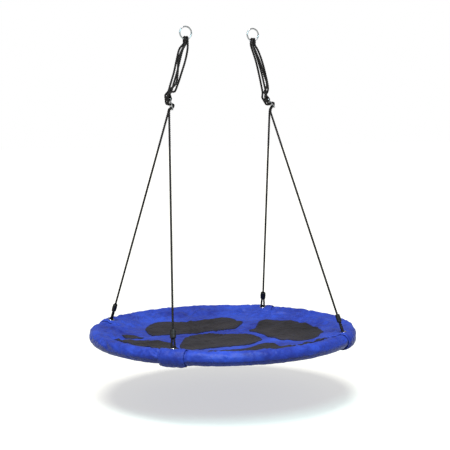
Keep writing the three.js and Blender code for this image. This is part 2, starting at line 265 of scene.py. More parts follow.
def mix(nt, kind, factor, a, b):
    n = nt.nodes.new("ShaderNodeMix")
    n.data_type = "RGBA"
    n.blend_type = kind
    for socket, v in ((n.inputs[0], factor), (n.inputs[6], a), (n.inputs[7], b)):
        if isinstance(v, bpy.types.NodeSocket):
            nt.links.new(v, socket)
        else:
            socket.default_value = v
    return n.outputs[2]


def math_node(nt, op, a, b=0.0):
    n = nt.nodes.new("ShaderNodeMath")
    n.operation = op
    for socket, v in ((n.inputs[0], a), (n.inputs[1], b)):
        if isinstance(v, bpy.types.NodeSocket):
            nt.links.new(v, socket)
        else:
            socket.default_value = v
    return n.outputs[0]


def woven(name, dark, light, thread=0.0007, sheen=0.25, rough=(0.42, 0.6), specular=0.3, soil=0.25):
    """Plain-woven oxford cloth: two sets of threads, a slow change of colour and soft creases."""
    mat, nt, b = shader(name)
    tc = node(nt, "ShaderNodeTexCoord")
    k = 0.314 / (2 * thread)
    waves = []
    for direction in ("X", "Y"):
        w = node(nt, "ShaderNodeTexWave", Scale=k, Distortion=0.6, Detail=1.0, Detail_Scale=1.5)
        w.wave_type, w.bands_direction, w.wave_profile = "BANDS", direction, "SIN"
        nt.links.new(tc.outputs["UV"], w.inputs["Vector"])
        waves.append(w.outputs["Fac"])
    check = node(nt, "ShaderNodeTexChecker", Scale=1 / (2 * thread))
    nt.links.new(tc.outputs["UV"], check.inputs["Vector"])
    over = math_node(nt, "MULTIPLY", waves[0], check.outputs["Fac"])
    under = math_node(nt, "MULTIPLY", waves[1], math_node(nt, "SUBTRACT", 1.0, check.outputs["Fac"]))
    weave = math_node(nt, "ADD", over, under)

    big = node(nt, "ShaderNodeTexNoise", Scale=7.0, Detail=3.0, Roughness=0.55)
    nt.links.new(tc.outputs["Object"], big.inputs["Vector"])
    mid = node(nt, "ShaderNodeTexNoise", Scale=45.0, Detail=4.0, Roughness=0.6)
    nt.links.new(tc.outputs["Object"], mid.inputs["Vector"])
    blend = math_node(nt, "ADD", math_node(nt, "MULTIPLY", big.outputs["Fac"], 0.65), math_node(nt, "MULTIPLY", mid.outputs["Fac"], 0.35))
    base = ramp(nt, blend, [(0.32, linear(dark)), (0.68, linear(light))]).outputs[0]
    fine = ramp(nt, weave, [(0.0, (0.82, 0.82, 0.82)), (1.0, (1.08, 1.08, 1.08))]).outputs[0]
    colour = mix(nt, "MULTIPLY", 1.0, base, fine)
    nt.links.new(colour, b.inputs["Base Color"])

    r = node(nt, "ShaderNodeMapRange")
    nt.links.new(mid.outputs["Fac"], r.inputs[0])
    for i, v in ((1, 0.3), (2, 0.7), (3, rough[0]), (4, rough[1])):
        r.inputs[i].default_value = v
    nt.links.new(r.outputs[0], b.inputs["Roughness"])

    crease = node(nt, "ShaderNodeTexNoise", Scale=19.0, Detail=4.0, Roughness=0.5, Distortion=1.8)
    nt.links.new(tc.outputs["Object"], crease.inputs["Vector"])
    b1 = node(nt, "ShaderNodeBump", Strength=0.55, Distance=0.0060)
    nt.links.new(crease.outputs["Fac"], b1.inputs["Height"])
    b2 = node(nt, "ShaderNodeBump", Strength=0.35, Distance=0.00018)
    nt.links.new(weave, b2.inputs["Height"])
    nt.links.new(b1.outputs[0], b2.inputs["Normal"])
    nt.links.new(b2.outputs[0], b.inputs["Normal"])
    b.inputs["Specular IOR Level"].default_value = specular
    b.inputs["Sheen Weight"].default_value = sheen
    b.inputs["Sheen Roughness"].default_value = 0.45
    return mat


def laid_rope_material(name):
    """Black laid polyethylene: each strand is a bundle of yarns that lie across it, slightly glossy; the lighter yarn
    bands in its colour are partly a painted highlight.
    """
    mat, nt, b = shader(name)
    tc = node(nt, "ShaderNodeTexCoord")
    mp = node(nt, "ShaderNodeMapping")
    mp.inputs["Rotation"].default_value = (0, 0, math.radians(52))
    nt.links.new(tc.outputs["UV"], mp.inputs["Vector"])
    w = node(nt, "ShaderNodeTexWave", Scale=0.314 / 0.0009, Distortion=1.4, Detail=2.0, Detail_Scale=2.0)
    w.wave_type, w.bands_direction, w.wave_profile = "BANDS", "X", "SIN"
    nt.links.new(mp.outputs[0], w.inputs["Vector"])
    n = node(nt, "ShaderNodeTexNoise", Scale=180.0, Detail=3.0, Roughness=0.6)
    nt.links.new(tc.outputs["Object"], n.inputs["Vector"])
    f = math_node(nt, "ADD", math_node(nt, "MULTIPLY", w.outputs["Fac"], 0.6), math_node(nt, "MULTIPLY", n.outputs["Fac"], 0.4))
    # the lighter colour on the yarn bands' crests is partly yarn pattern and partly painted highlight: glints along the
    # lay painted into the base colour
    col = ramp(nt, f, [(0.25, linear((2, 2, 2))), (0.6, linear((8, 6, 6))), (0.85, linear((22, 17, 17)))])
    nt.links.new(col.outputs[0], b.inputs["Base Color"])
    r = node(nt, "ShaderNodeMapRange")
    nt.links.new(n.outputs["Fac"], r.inputs[0])
    for i, v in ((1, 0.3), (2, 0.7), (3, 0.34), (4, 0.5)):
        r.inputs[i].default_value = v
    nt.links.new(r.outputs[0], b.inputs["Roughness"])
    bp = node(nt, "ShaderNodeBump", Strength=0.6, Distance=0.0003)
    nt.links.new(w.outputs["Fac"], bp.inputs["Height"])
    nt.links.new(bp.outputs[0], b.inputs["Normal"])
    b.inputs["Specular IOR Level"].default_value = 0.22
    b.inputs["Specular Tint"].default_value = (1.0, 0.86, 0.84, 1.0)
    return mat


def metal(name, tone, rough, grain=220.0, dull=0.12):
    mat, nt, b = shader(name)
    tc = node(nt, "ShaderNodeTexCoord")
    n = node(nt, "ShaderNodeTexNoise", Scale=grain, Detail=4.0, Roughness=0.6)
    nt.links.new(tc.outputs["Object"], n.inputs["Vector"])
    c = ramp(nt, n.outputs["Fac"], [(0.3, linear([t * (1 - dull) for t in tone])), (0.7, linear(tone))])
    nt.links.new(c.outputs[0], b.inputs["Base Color"])
    r = node(nt, "ShaderNodeMapRange")
    nt.links.new(n.outputs["Fac"], r.inputs[0])
    for i, v in ((1, 0.3), (2, 0.7), (3, rough[0]), (4, rough[1])):
        r.inputs[i].default_value = v
    nt.links.new(r.outputs[0], b.inputs["Roughness"])
    bp = node(nt, "ShaderNodeBump", Strength=0.15, Distance=0.0003)
    nt.links.new(n.outputs["Fac"], bp.inputs["Height"])
    nt.links.new(bp.outputs[0], b.inputs["Normal"])
    b.inputs["Metallic"].default_value = 1.0
    return mat


def moulded(name, tone, rough=(0.35, 0.55), scale=400.0, strength=0.25):
    mat, nt, b = shader(name)
    tc = node(nt, "ShaderNodeTexCoord")
    n = node(nt, "ShaderNodeTexNoise", Scale=scale, Detail=3.0, Roughness=0.55)
    nt.links.new(tc.outputs["Object"], n.inputs["Vector"])
    c = ramp(nt, n.outputs["Fac"], [(0.3, linear([t * 0.75 for t in tone])), (0.75, linear([min(255, t * 1.3) for t in tone]))])
    nt.links.new(c.outputs[0], b.inputs["Base Color"])
    r = node(nt, "ShaderNodeMapRange")
    nt.links.new(n.outputs["Fac"], r.inputs[0])
    for i, v in ((1, 0.3), (2, 0.7), (3, rough[0]), (4, rough[1])):
        r.inputs[i].default_value = v
    nt.links.new(r.outputs[0], b.inputs["Roughness"])
    bp = node(nt, "ShaderNodeBump", Strength=strength, Distance=0.0004)
    nt.links.new(n.outputs["Fac"], bp.inputs["Height"])
    nt.links.new(bp.outputs[0], b.inputs["Normal"])
    b.inputs["Specular IOR Level"].default_value = 0.35
    return mat


def foam_material(name):
    mat, nt, b = shader(name)
    tc = node(nt, "ShaderNodeTexCoord")
    v = node(nt, "ShaderNodeTexVoronoi", Scale=900.0)
    nt.links.new(tc.outputs["Object"], v.inputs["Vector"])
    c = ramp(nt, v.outputs["Distance"], [(0.0, linear((40, 41, 44))), (0.6, linear((66, 67, 70)))])
    nt.links.new(c.outputs[0], b.inputs["Base Color"])
    bp = node(nt, "ShaderNodeBump", Strength=0.5, Distance=0.0006)
    nt.links.new(v.outputs["Distance"], bp.inputs["Height"])
    nt.links.new(bp.outputs[0], b.inputs["Normal"])
    b.inputs["Roughness"].default_value = 0.95
    return mat


BLUE = woven("blue_oxford", (25, 30, 108), (44, 72, 180), sheen=0.03, specular=0.2)
GREY = woven("grey_oxford", (25, 22, 24), (52, 46, 50), sheen=0.02, specular=0.1)
ROPE = laid_rope_material("black_laid_rope")
STEEL = metal("plated_steel", (168, 169, 172), (0.2, 0.34))
NICKEL = metal("nickel_eyelet", (226, 227, 230), (0.14, 0.26))
ZINC = metal("galvanised_steel", (168, 171, 176), (0.38, 0.55), grain=60.0, dull=0.25)
PLASTIC = moulded("black_moulded_plastic", (13, 9, 9), (0.5, 0.7))
FOAM = foam_material("grey_foam")
THREAD = moulded("blue_thread", (58, 74, 200), (0.5, 0.7), scale=1500.0)
THREAD_DARK = moulded("dark_thread", (28, 32, 104), (0.5, 0.7), scale=1500.0)

# ------------------------------------------------------------------ ropes
HALF_W = 0.0046
SIDES = {"left": -1, "right": 1}
ADJ = {"left": ((-0.219, 0, -0.259), (0.2588, 0, -0.9659)), "right": ((0.229, 0, -0.255), (0.6820, 0, -0.7314))}


def adjuster_frame(side):
    c, l = np.array(ADJ[side][0], float), unit(ADJ[side][1])
    n = np.array([-l[2], 0, l[0]])
    c = c - np.array([0, 0, DROP])
    return c, l, n


def at_adjuster(side):
    c, l, n = adjuster_frame(side)
    return lambda a, b, y: c + l * a / 1000 + n * b / 1000 + np.array([0, y, 0]) / 1000


CORNERS = [("front_left", -1, -1), ("back_left", -1, 1), ("front_right", 1, -1), ("back_right", 1, 1)]
corner = {}
for cname, sx, sy in CORNERS:
    r = unit((sx, sy, 0))
    t = np.array([-r[1], r[0], 0])
    centre = r * RIM_R + np.array([0, 0, RIM_Z])
    start = np.array([sx * 0.2271, sy * HALF_W, -0.2915 - DROP])
    upw = unit(start - centre)
    n = unit(upw - t * (upw @ t))
    b = unit(np.cross(t, n))
    slant = (upw @ t) / (upw @ n)
    across = unit(t - upw * (t @ upw))
    deep = np.cross(across, upw)
    corner[cname] = dict(r=r, t=t, centre=centre, start=start, up=upw, n=n, b=b, slant=slant, across=across, deep=deep,
                         foot=centre + t * slant * 0.0285, side="left" if sx < 0 else "right", angle=math.atan2(sy, sx))


def rope_profile(R, per):
    phi = TAU * np.arange(3 * per) / (3 * per)
    rs, d = 0.464 * R, 0.536 * R
    q = np.mod(phi, TAU / 3) - TAU / 6
    r = d * np.cos(q) + np.sqrt(np.maximum(rs**2 - (d * np.sin(q)) ** 2, 0))
    return phi, np.maximum(r, 0.80 * R)


def rope_rings(line, R=ROPE_R, lay=0.026, per=6, phase=0.0):
    """Rings of a right-hand laid rope of three strands along a line of points."""
    s = np.concatenate([[0], np.cumsum(np.linalg.norm(np.diff(line, axis=0), axis=1))])
    T, A, B = frames_along(line)
    phi, r = rope_profile(R, per)
    ang = phi[None, :] + (TAU * s / lay)[:, None] + phase
    P = line[:, None, :] + r[None, :, None] * (np.cos(ang)[..., None] * A[:, None, :] + np.sin(ang)[..., None] * B[:, None, :])
    return P, s


def rope_piece(name, P, s, R=ROPE_R, taper=(False, False)):
    """One closed length of rope from some of its rings."""
    n, k = P.shape[:2]
    U = s
    W = np.arange(k + 1) * TAU * R / k
    V, F, uv = grid(P, U, W, close_v=True)
    parts = [(V, F, uv)]
    V = V.tolist()
    F = F.tolist()
    uv = uv.tolist()
    for end, ring in ((0, 0), (1, n - 1)):
        mid = P[ring].mean(0)
        V.append(mid.tolist())
        c = len(V) - 1
        for j in range(k):
            a, b2 = ring * k + j, ring * k + (j + 1) % k
            F.append([c, b2, a] if end else [c, a, b2])
            uv += [[U[ring], 0], [U[ring], W[j]], [U[ring], W[j + 1]]]
    o = make(name, np.array(V), F, uv)
    o.data.materials.append(ROPE)
    # faces outwards
    return o


def recalc(o):
    import bmesh
    bm = bmesh.new()
    bm.from_mesh(o.data)
    bmesh.ops.recalc_face_normals(bm, faces=bm.faces)
    bm.to_mesh(o.data)
    bm.free()
    return o


ropes_declared = []
for side, s in SIDES.items():
    at = at_adjuster(side)
    b = HALF_W * 1000
    x0 = s * RING_X
    z0 = -0.007 - DROP
    loop = [at(-37, 6, b), at(-26, 6.5, b), at(-17.5, 5.5, b), at(-15, 0, b), at(-17, -7.5, b), at(-23, -10.5, b), at(-29, -10, b),
            at(-33.5, -10, 0),
            at(-29, -10, -b), at(-23, -10.5, -b), at(-17, -7.5, -b), at(-15, 0, -b), at(-17.5, 5.5, -b), at(-26, 6.5, -b), at(-37, 6, -b)]

    def turn(y, sy):
        pts = [at(-15.4, -11.65, sy * 11.9), at(-10, -13, sy * 10.8), at(-5.5, -13, sy * 7.8), at(-1.5, -9.0, sy * 5.2), at(0, -2.5, y), at(0, 2.5, y),
               at(2.2, 7.8, y), at(7.5, 10, y), at(12.8, 7.8, y), at(15, 2.5, y), at(15, -2.5, y)]
        pts += [at(18, -9.5, y), at(24, -14, y)] if side == "left" else [at(15.6, -10, y), at(19, -18.5, y)]
        pts.append(np.array([s * 0.2271, sy * HALF_W, -0.2915 - DROP]))
        return pts

    e = at(-30, -5, 0)
    T = [0.14, 0.34, 0.56, 0.76, 0.9]
    bow = (dict(rb=[-12, -9, -3, -1, 0], rf=[3, 4, 6, 5, 3], tf=[-6, -9, 6, 14], tb=[16, 24, 27, 28, 24]) if side == "left"
           else dict(rb=[-5, 0, 1, 1, 0], rf=[5, 9, 9, 6, 3], tf=[-1, 8, 14, 17], tb=[12, 22, 27, 28]))

    def strand(tx, ty, ys, dxs, tail):
        pts = [np.array([tx, ty, z0]), np.array([tx, ty, z0 - 0.009])]
        for k, dx in enumerate(dxs):
            pts.append(np.array([x0 + (e[0] - x0) * T[k] + dx / 1000, ys[k] / 1000, z0 + (e[2] - z0) * T[k]]))
        return pts + tail

    def beside(sy):
        return [at(-40, -6, sy * 12.8), at(-31, -8.5, sy * 13.4), at(-22, -10, sy * 13.2), at(-16.6, -11.35, sy * 12.1)]

    run_back = strand(x0 - 0.005, 0.0088, [9, 9, 9.5, 11, 12.5], bow["rb"], beside(1))
    run_front = strand(x0 + 0.005, 0.0088, [8.5, 4.8, -1, -7.5, -12], bow["rf"], beside(-1))
    ret_front = strand(x0 - 0.005, -0.0088, [-9, -10, -10.3, -9.2], bow["tf"], [at(-54, 8, -b - 1.6), at(-46, 7, -b), at(-38.2, 6, -b)])
    home = [at(-46, 19, b), at(-41, 12, b)] if side == "left" else [at(-46, 31.3, b), at(-40.6, 20.5, b), at(-39, 12.5, b)]
    ret_back = strand(x0 + 0.005, -0.0088, [-8, -4, 1, 4, 4.6], bow["tb"], home + [at(-38.0, 7, b)])

    def bight(dx):
        pts = [np.array([x0 + dx, -0.0088, -0.006 - DROP])]
        for k in range(9):
            a = math.pi - math.pi * k / 8
            pts.append(np.array([x0 + dx, 0.0088 * math.cos(a), 0.0006 + 0.0088 * math.sin(a) - DROP]))
        pts.append(np.array([x0 + dx, 0.0088, -0.006 - DROP]))
        return pts

    def leg(cname):
        C = corner[cname]
        end = C["centre"] + C["up"] * (0.072 + 0.034 - 0.012 + 0.0004)
        d = unit(end - C["start"])
        sy = -1 if cname.startswith("front") else 1
        return [C["start"] + d * 0.0012 + np.array([0, sy * 0.0006, -0.0006]), end]

    pieces = [
        (f"rope_leg_back_{side}", catmull(leg(f"back_{side}"))[::-1]),
        (f"rope_turn_{side}_back", catmull(turn(b, 1))[::-1]),
        (f"rope_strand_{side}_run_back", catmull(run_back)[::-1]),
        (f"rope_bight_{side}_a", catmull(bight(-0.005))[::-1]),
        (f"rope_strand_{side}_return_front", catmull(ret_front)),
        (f"rope_loop_{side}", catmull(loop)[::-1]),
        (f"rope_strand_{side}_return_back", catmull(ret_back)[::-1]),
        (f"rope_bight_{side}_b", catmull(bight(0.005))),
        (f"rope_strand_{side}_run_front", catmull(run_front)),
        (f"rope_turn_{side}_front", catmull(turn(-b, -1))),
        (f"rope_leg_front_{side}", catmull(leg(f"front_{side}"))),
    ]
    whole, cuts, count = [], [], 0.0
    last = None
    for name, line in pieces:
        if last is not None:
            count += np.linalg.norm(line[0] - last) / 2
            cuts.append(count)
            count += np.linalg.norm(line[0] - last) / 2
        count += np.linalg.norm(np.diff(line, axis=0), axis=1).sum()
        whole.append(line)
        last = line[-1]
    whole = np.concatenate(whole)
    keep = np.concatenate([[True], np.linalg.norm(np.diff(whole, axis=0), axis=1) > 1e-6])
    whole = whole[keep]
    total = count
    line = softened(evenly(whole, 0.0016), 3)
    P, along = rope_rings(line, R=ROPE_SEEN)
    index = [0] + [int(np.argmin(np.abs(np.linspace(0, total, len(line)) - c))) for c in cuts] + [len(line) - 1]
    for (name, _), i0, i1 in zip(pieces, index[:-1], index[1:]):
        o = recalc(rope_piece(name, P[i0:i1 + 1], along[i0:i1 + 1]))
        piece_line = line[i0:i1 + 1]
        long = float(np.linalg.norm(np.diff(piece_line, axis=0), axis=1).sum())
        o.name = name + "_laid"
        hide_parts(name)
        if "strand" in name:
            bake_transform(o)
            ropes_declared.append((o.name, round(long, 3)))
        elif "leg" in name:
            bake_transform(o)
            ropes_declared.append((o.name, round(long, 3)))
        elif "bight" in name:
            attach(o, "rope_tops")
        else:
            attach(o, f"adjuster_{side}")
print("ROPES", ropes_declared)

# eyes: down one side, once round the steel tube, and back up into the ferrule
for cname, C in corner.items():
    pts = []
    heights = [(84, 4.2), (72, 4.3), (60, 5.2), (46, 6.2), (34, 6.0), (26, 5.2)]
    for h, g in heights:
        pts.append(C["centre"] + C["up"] * h / 1000 - C["across"] * g / 1000)
    for deg, rr in [(58, 18.6), (88, 17.6), (118, 17.6), (148, 17.6), (180, 17.6), (212, 17.6), (242, 17.6), (272, 17.6), (302, 18.6)]:
        a = math.radians(deg)
        pts.append(C["centre"] + (C["n"] * math.cos(a) + C["b"] * math.sin(a)) * rr / 1000
                   + C["t"] * (-4.4 + 8.8 * (deg - 20) / 320 + C["slant"] * rr * math.cos(a) * max(0, math.cos(a))) / 1000)
    for h, g in heights[::-1]:
        pts.append(C["centre"] + C["up"] * h / 1000 + C["across"] * g / 1000)
    line = softened(evenly(catmull(pts), 0.0016), 3)
    P, along = rope_rings(line, R=ROPE_SEEN)
    o = recalc(rope_piece(f"rope_eye_{cname}_laid", P, along))
    place(o, "seat", f"rope_eye_{cname}", slot="rope")

# ferrules: fluted oval barrels with a mouth for the leg
for cname, C in corner.items():
    nu = 72
    prof = [(0.0, 0.0), (0.55, 0.0), (0.80, 0.0004), (0.90, 0.0014), (0.955, 0.0032), (0.985, 0.0055), (0.985, 0.0072), (0.945, 0.0082)]
    prof += [(0.945 + 0.055 * math.sin(math.pi * k / 8), 0.0082 + 0.0176 * k / 8) for k in range(1, 8)]
    prof += [(0.945, 0.0258), (0.975, 0.0268), (0.975, 0.0290), (0.94, 0.0310), (0.86, 0.0328), (0.72, 0.0339), (0.56, 0.0342)]
    rows = []
    for q, h in prof:
        row = []
        for k in range(nu):
            a = TAU * k / nu
            ca, sa = math.cos(a), math.sin(a)
            p = 2.4
            sup = (abs(ca) ** p + abs(sa) ** p) ** (-1 / p)
            flute = 1 + (0.035 * math.cos(14 * a) if 0.0084 < h < 0.0256 else 0.0)
            wx, wy = 0.0118 * q * sup * flute, 0.0090 * q * sup * flute
            row.append(C["centre"] + C["up"] * (0.072 + h) + C["across"] * wx * ca + C["deep"] * wy * sa)
        rows.append(row)
    mouth = ROPE_R + 0.0009
    for h, rr in ((0.0338, mouth + 0.0004), (0.0325, mouth), (0.024, mouth)):
        rows.append([C["centre"] + C["up"] * (0.072 + h) + (C["across"] * math.cos(TAU * k / nu) + C["deep"] * math.sin(TAU * k / nu)) * rr for k in range(nu)])
    P = np.array(rows)
    V, F, uv = grid(P, np.linspace(0, 0.07, len(rows)), np.linspace(0, 0.07, nu + 1), close_v=True)
    V, F, uv = V.tolist(), F.tolist(), uv.tolist()
    F.append([(len(rows) - 1) * nu + k for k in range(nu)])
    uv += [[0, 0]] * nu
    o = recalc(make(f"ferrule_{cname}_moulded", V, F, uv))
    import bmesh
    bm = bmesh.new()
    bm.from_mesh(o.data)
    bmesh.ops.remove_doubles(bm, verts=bm.verts, dist=1e-6)
    bmesh.ops.recalc_face_normals(bm, faces=bm.faces)
    bm.to_mesh(o.data)
    bm.free()
    place(o, f"legs_{C['side']}", f"ferrule_{cname}", slot="ferrule_plastic", material=PLASTIC)


# ------------------------------------------------------------------ rings, adjusters, grommets
def turned(name, prof, foot, axis, sides=72):
    """A turned ring about axis at foot from a closed profile of (radius, height)."""
    axis = unit(axis)
    a = unit(np.cross(axis, (0.3, 0.9, 0.1)))
    b = np.cross(axis, a)
    P = np.array([[foot + axis * h + (a * math.cos(TAU * k / sides) + b * math.sin(TAU * k / sides)) * r for k in range(sides)] for r, h in prof])
    V, F, uv = grid(P, np.linspace(0, 0.05, len(prof) + 1), np.linspace(0, 0.09, sides + 1), close_u=True, close_v=True)
    return recalc(make(name, V, F, uv))


for side, s in SIDES.items():
    nu, nv = 144, 28
    P = np.zeros((nu, nv, 3))
    for i in range(nu):
        a = TAU * i / nu
        weld = math.exp(-(((a - 1.15 + math.pi) % TAU - math.pi) / 0.045) ** 2)
        for j in range(nv):
            q = TAU * j / nv
            w = RING_W * (1 + 0.10 * weld)
            rr = RING_R + w * math.cos(q)
            P[i, j] = (s * RING_X + rr * math.cos(a), w * math.sin(q), RING_R - DROP + rr * math.sin(a))
    V, F, uv = grid(P, np.linspace(0, 0.157, nu + 1), np.linspace(0, 0.019, nv + 1), close_u=True, close_v=True)
    o = recalc(make(f"ring_{side}_steel", V, F, uv))
    place(o, "hook_rings", f"ring_{side}", slot="ring_steel", material=STEEL)

    # adjuster: a stamped plate with three slots and rolled edges
    c, l, n = adjuster_frame(side)
    cu = bpy.data.curves.new(f"adjuster_{side}_plate", "CURVE")
    cu.dimensions, cu.fill_mode = "2D", "BOTH"
    cu.extrude, cu.bevel_depth, cu.bevel_resolution = 0.00095, 0.00055, 3

    def rounded(x0_, x1_, y0_, y1_, q, steps=8):
        pts = []
        for (cx, cy, a0) in ((x1_ - q, y0_ + q, -90), (x1_ - q, y1_ - q, 0), (x0_ + q, y1_ - q, 90), (x0_ + q, y0_ + q, 180)):
            for k in range(steps + 1):
                a = math.radians(a0 + 90 * k / steps)
                pts.append((cx + q * math.cos(a), cy + q * math.sin(a)))
        return pts

    k = 0.00055
    outlines = [rounded(-0.025 + k, 0.025 - k, -0.014 + k, 0.014 - k, 0.0058)]
    for mid in (-0.015, 0.0, 0.015):
        outlines.append(rounded(mid - 0.005 - k, mid + 0.005 + k, -0.0093 - k, 0.0093 + k, 0.0034)[::-1])
    for pts in outlines:
        sp = cu.splines.new("POLY")
        sp.points.add(len(pts) - 1)
        sp.use_cyclic_u = True
        for p, (x, y) in zip(sp.points, pts):
            p.co = (x, y, 0, 1)
    tmp = bpy.data.objects.new("tmp", cu)
    scene.collection.objects.link(tmp)
    bpy.context.view_layer.update()
    me = bpy.data.meshes.new_from_object(tmp.evaluated_get(bpy.context.evaluated_depsgraph_get()))
    bpy.data.objects.remove(tmp)
    w = np.array([0, 1.0, 0])
    third = np.cross(l, w)
    M = Matrix([[l[i], w[i], third[i], c[i]] for i in range(3)] + [[0, 0, 0, 1]])
    me.transform(M)
    o = bpy.data.objects.new(f"adjuster_{side}_plate", me)
    scene.collection.objects.link(o)
    import bmesh
    bm = bmesh.new()
    bm.from_mesh(me)
    bmesh.ops.remove_doubles(bm, verts=bm.verts, dist=1e-6)
    bmesh.ops.recalc_face_normals(bm, faces=bm.faces)
    bm.to_mesh(me)
    bm.free()
    me.polygons.foreach_set("use_smooth", [True] * len(me.polygons))
    me.set_sharp_from_angle(angle=math.radians(40))
    place(o, f"adjuster_{side}", f"adjuster_{side}", slot="ring_steel", material=STEEL)

for cname, C in corner.items():
    prof = [(0.0100, 0.0255), (0.0109, 0.0255), (0.0109, 0.0296), (0.0139, 0.0294), (0.0142, 0.0299)]
    prof += [(0.0121 + 0.0021 * math.cos(a), 0.0300 + 0.0021 * math.sin(a)) for a in np.linspace(0.2, math.pi - 0.15, 12)]
    o = turned(f"grommet_{cname}_rolled", prof, C["foot"], C["n"])
    place(o, "seat", f"grommet_{cname}", slot="grommet_steel", material=NICKEL)

# ------------------------------------------------------------------ the seat's outlines: grey panels on the blue cloth, in millimetres
PANELS = {
    "back": [(-266, 207), (-212, 301), (-164, 340), (-114, 345), (-73, 326), (-28, 320), (21, 322), (72, 321), (123, 323), (160, 316), (176, 287), (180, 227), (195, 218), (166, 167), (129, 125), (98, 98), (67, 99), (30, 95), (-11, 96), (-59, 78), (-106, 76), (-173, 79), (-219, 79), (-258, 85), (-275, 111), (-272, 166)],
    "left_small": [(-402, 112), (-352, 128), (-330, 86), (-330, 44), (-352, 28), (-384, 44), (-408, 78)],
    "left": [(-484, -30), (-474, 22), (-446, 44), (-410, 26), (-380, 2), (-340, 4), (-300, -30), (-262, -72), (-272, -130), (-282, -190), (-282, -238), (-318, -272), (-362, -286), (-396, -270), (-430, -212), (-458, -140), (-474, -85)],
    "middle": [(-266, -180), (-205, -60), (-155, 14), (-105, 46), (-46, 57), (12, 38), (62, 6), (93, -26), (116, -67), (114, -136), (66, -205), (12, -250), (-31, -262), (-90, -264), (-149, -262), (-212, -276), (-256, -288), (-272, -240)],
    "right": [(140, 40), (172, 56), (222, 123), (262, 178), (300, 186), (335, 158), (366, 122), (386, 77), (396, 30), (404, -16), (402, -76), (384, -151), (352, -225), (317, -262), (264, -290), (222, -292), (200, -272), (176, -258), (156, -226), (150, -170), (157, -102), (157, -48), (146, -14), (132, 10)],
    "front": [(-246, -384), (-200, -332), (-148, -330), (-104, -338), (-62, -336), (-26, -318), (14, -284), (50, -254), (80, -250), (94, -300), (96, -360), (102, -430), (90, -472), (0, -486), (-80, -479), (-150, -461), (-224, -428)],
    "front_right": [(120, -420), (150, -404), (200, -388), (240, -370), (266, -358), (280, -384), (246, -414), (190, -444), (136, -462)],
}


def closed_curve(pts, step):
    """A smooth closed outline through the points, in metres, evenly spaced."""
    P = [np.array([x / 1000, y / 1000, 0.0]) for x, y in pts]
    n = len(P)
    wrap = P[-2:] + P + P[:3]
    line = catmull(wrap, per=16)
    a, b = 2 * 16, (2 + n) * 16
    even = evenly(line[a:b + 1], step)[:-1, :2]
    for _ in range(14):
        even = (np.roll(even, 1, 0) + 2 * even + np.roll(even, -1, 0)) / 4
    return even


def inside(poly, pts):
    x, y = pts[:, 0], pts[:, 1]
    hit = np.zeros(len(pts), bool)
    px, py = poly[:, 0], poly[:, 1]
    j = len(poly) - 1
    for i in range(len(poly)):
        cross = ((py[i] > y) != (py[j] > y)) & (x < (px[j] - px[i]) * (y - py[i]) / (py[j] - py[i] + 1e-15) + px[i])
        hit ^= cross
        j = i
    return hit


outline = {k: closed_curve(v, 0.0035) for k, v in PANELS.items()}
seam_pts = np.concatenate(list(outline.values()))
seam_s = np.concatenate([np.arange(len(v)) * 0.0035 for v in outline.values()])


def seam_distance(xy):
    """Distance from each point to the nearest panel outline, and the distance along that outline."""
    from mathutils.kdtree import KDTree
    tree = KDTree(len(seam_pts))
    for i, p in enumerate(seam_pts):
        tree.insert((p[0], p[1], 0), i)
    tree.balance()
    d, s = np.zeros(len(xy)), np.zeros(len(xy))
    for k, p in enumerate(xy):
        _, i, far = tree.find((p[0], p[1], 0))
        d[k], s[k] = far, seam_s[i]
    return d, s


# ------------------------------------------------------------------ the cloth's section from under the rim, over it and down across the seat
def dish(r):
    return RIM_Z + 0.008 - 0.022 * (1 - (r / SEAT_R) ** 2)


TH0 = math.radians(110)
r_in, r_t, z_t = 0.425, RIM_R + SKIN_R * math.cos(TH0), RIM_Z + SKIN_R * math.sin(TH0)
slope_t = math.cos(TH0) / -math.sin(TH0)
slope_in = 2 * 0.022 * r_in / SEAT_R**2
sec = []
for th in np.radians(np.arange(-200, 110.01, 2.5)):
    sec.append((RIM_R + SKIN_R * math.cos(th), RIM_Z + SKIN_R * math.sin(th)))
for k in range(1, 31):
    t = k / 30
    span = r_in - r_t
    h00, h10, h01, h11 = 2 * t**3 - 3 * t**2 + 1, t**3 - 2 * t**2 + t, -2 * t**3 + 3 * t**2, t**3 - t**2
    sec.append((r_t + span * t, h00 * z_t + h10 * span * slope_t + h01 * dish(r_in) + h11 * span * slope_in))
for r in np.linspace(r_in, 0.0, 120)[1:]:
    sec.append((r, dish(r)))
sec = np.array(sec)
sec_c = np.concatenate([[0], np.cumsum(np.linalg.norm(np.diff(sec, axis=0), axis=1))])
top_c = float(np.interp(290 / 2.5, np.arange(len(sec)), sec_c))
sec_c = sec_c - top_c                     # 0 on top of the rim, growing towards the middle
tan = np.gradient(sec, axis=0)
tan /= np.linalg.norm(tan, axis=1)[:, None]
sec_n = np.stack([tan[:, 1], -tan[:, 0]], 1)
if sec_n[len(sec) - 5][1] < 0:
    sec_n = -sec_n


def c_at_theta(deg):
    return math.radians(deg - 90) * SKIN_R


def c_at_radius(r):
    k = np.argmax(sec_c > 0)
    return float(np.interp(-r, -sec[k:, 0], sec_c[k:]))


def skin(c, ang, off):
    """Points on the cloth at section coordinate c and angle ang, raised by off."""
    r, z = np.interp(c, sec_c, sec[:, 0]), np.interp(c, sec_c, sec[:, 1])
    nr, nz = np.interp(c, sec_c, sec_n[:, 0]), np.interp(c, sec_c, sec_n[:, 1])
    k = np.hypot(nr, nz)
    r, z = r + nr / k * off, z + nz / k * off
    return np.stack([r * np.cos(ang), r * np.sin(ang), z], -1)


HOLES = [(C["foot"], C["n"]) for C in corner.values()]
BAND_A = [C["angle"] for C in corner.values()]


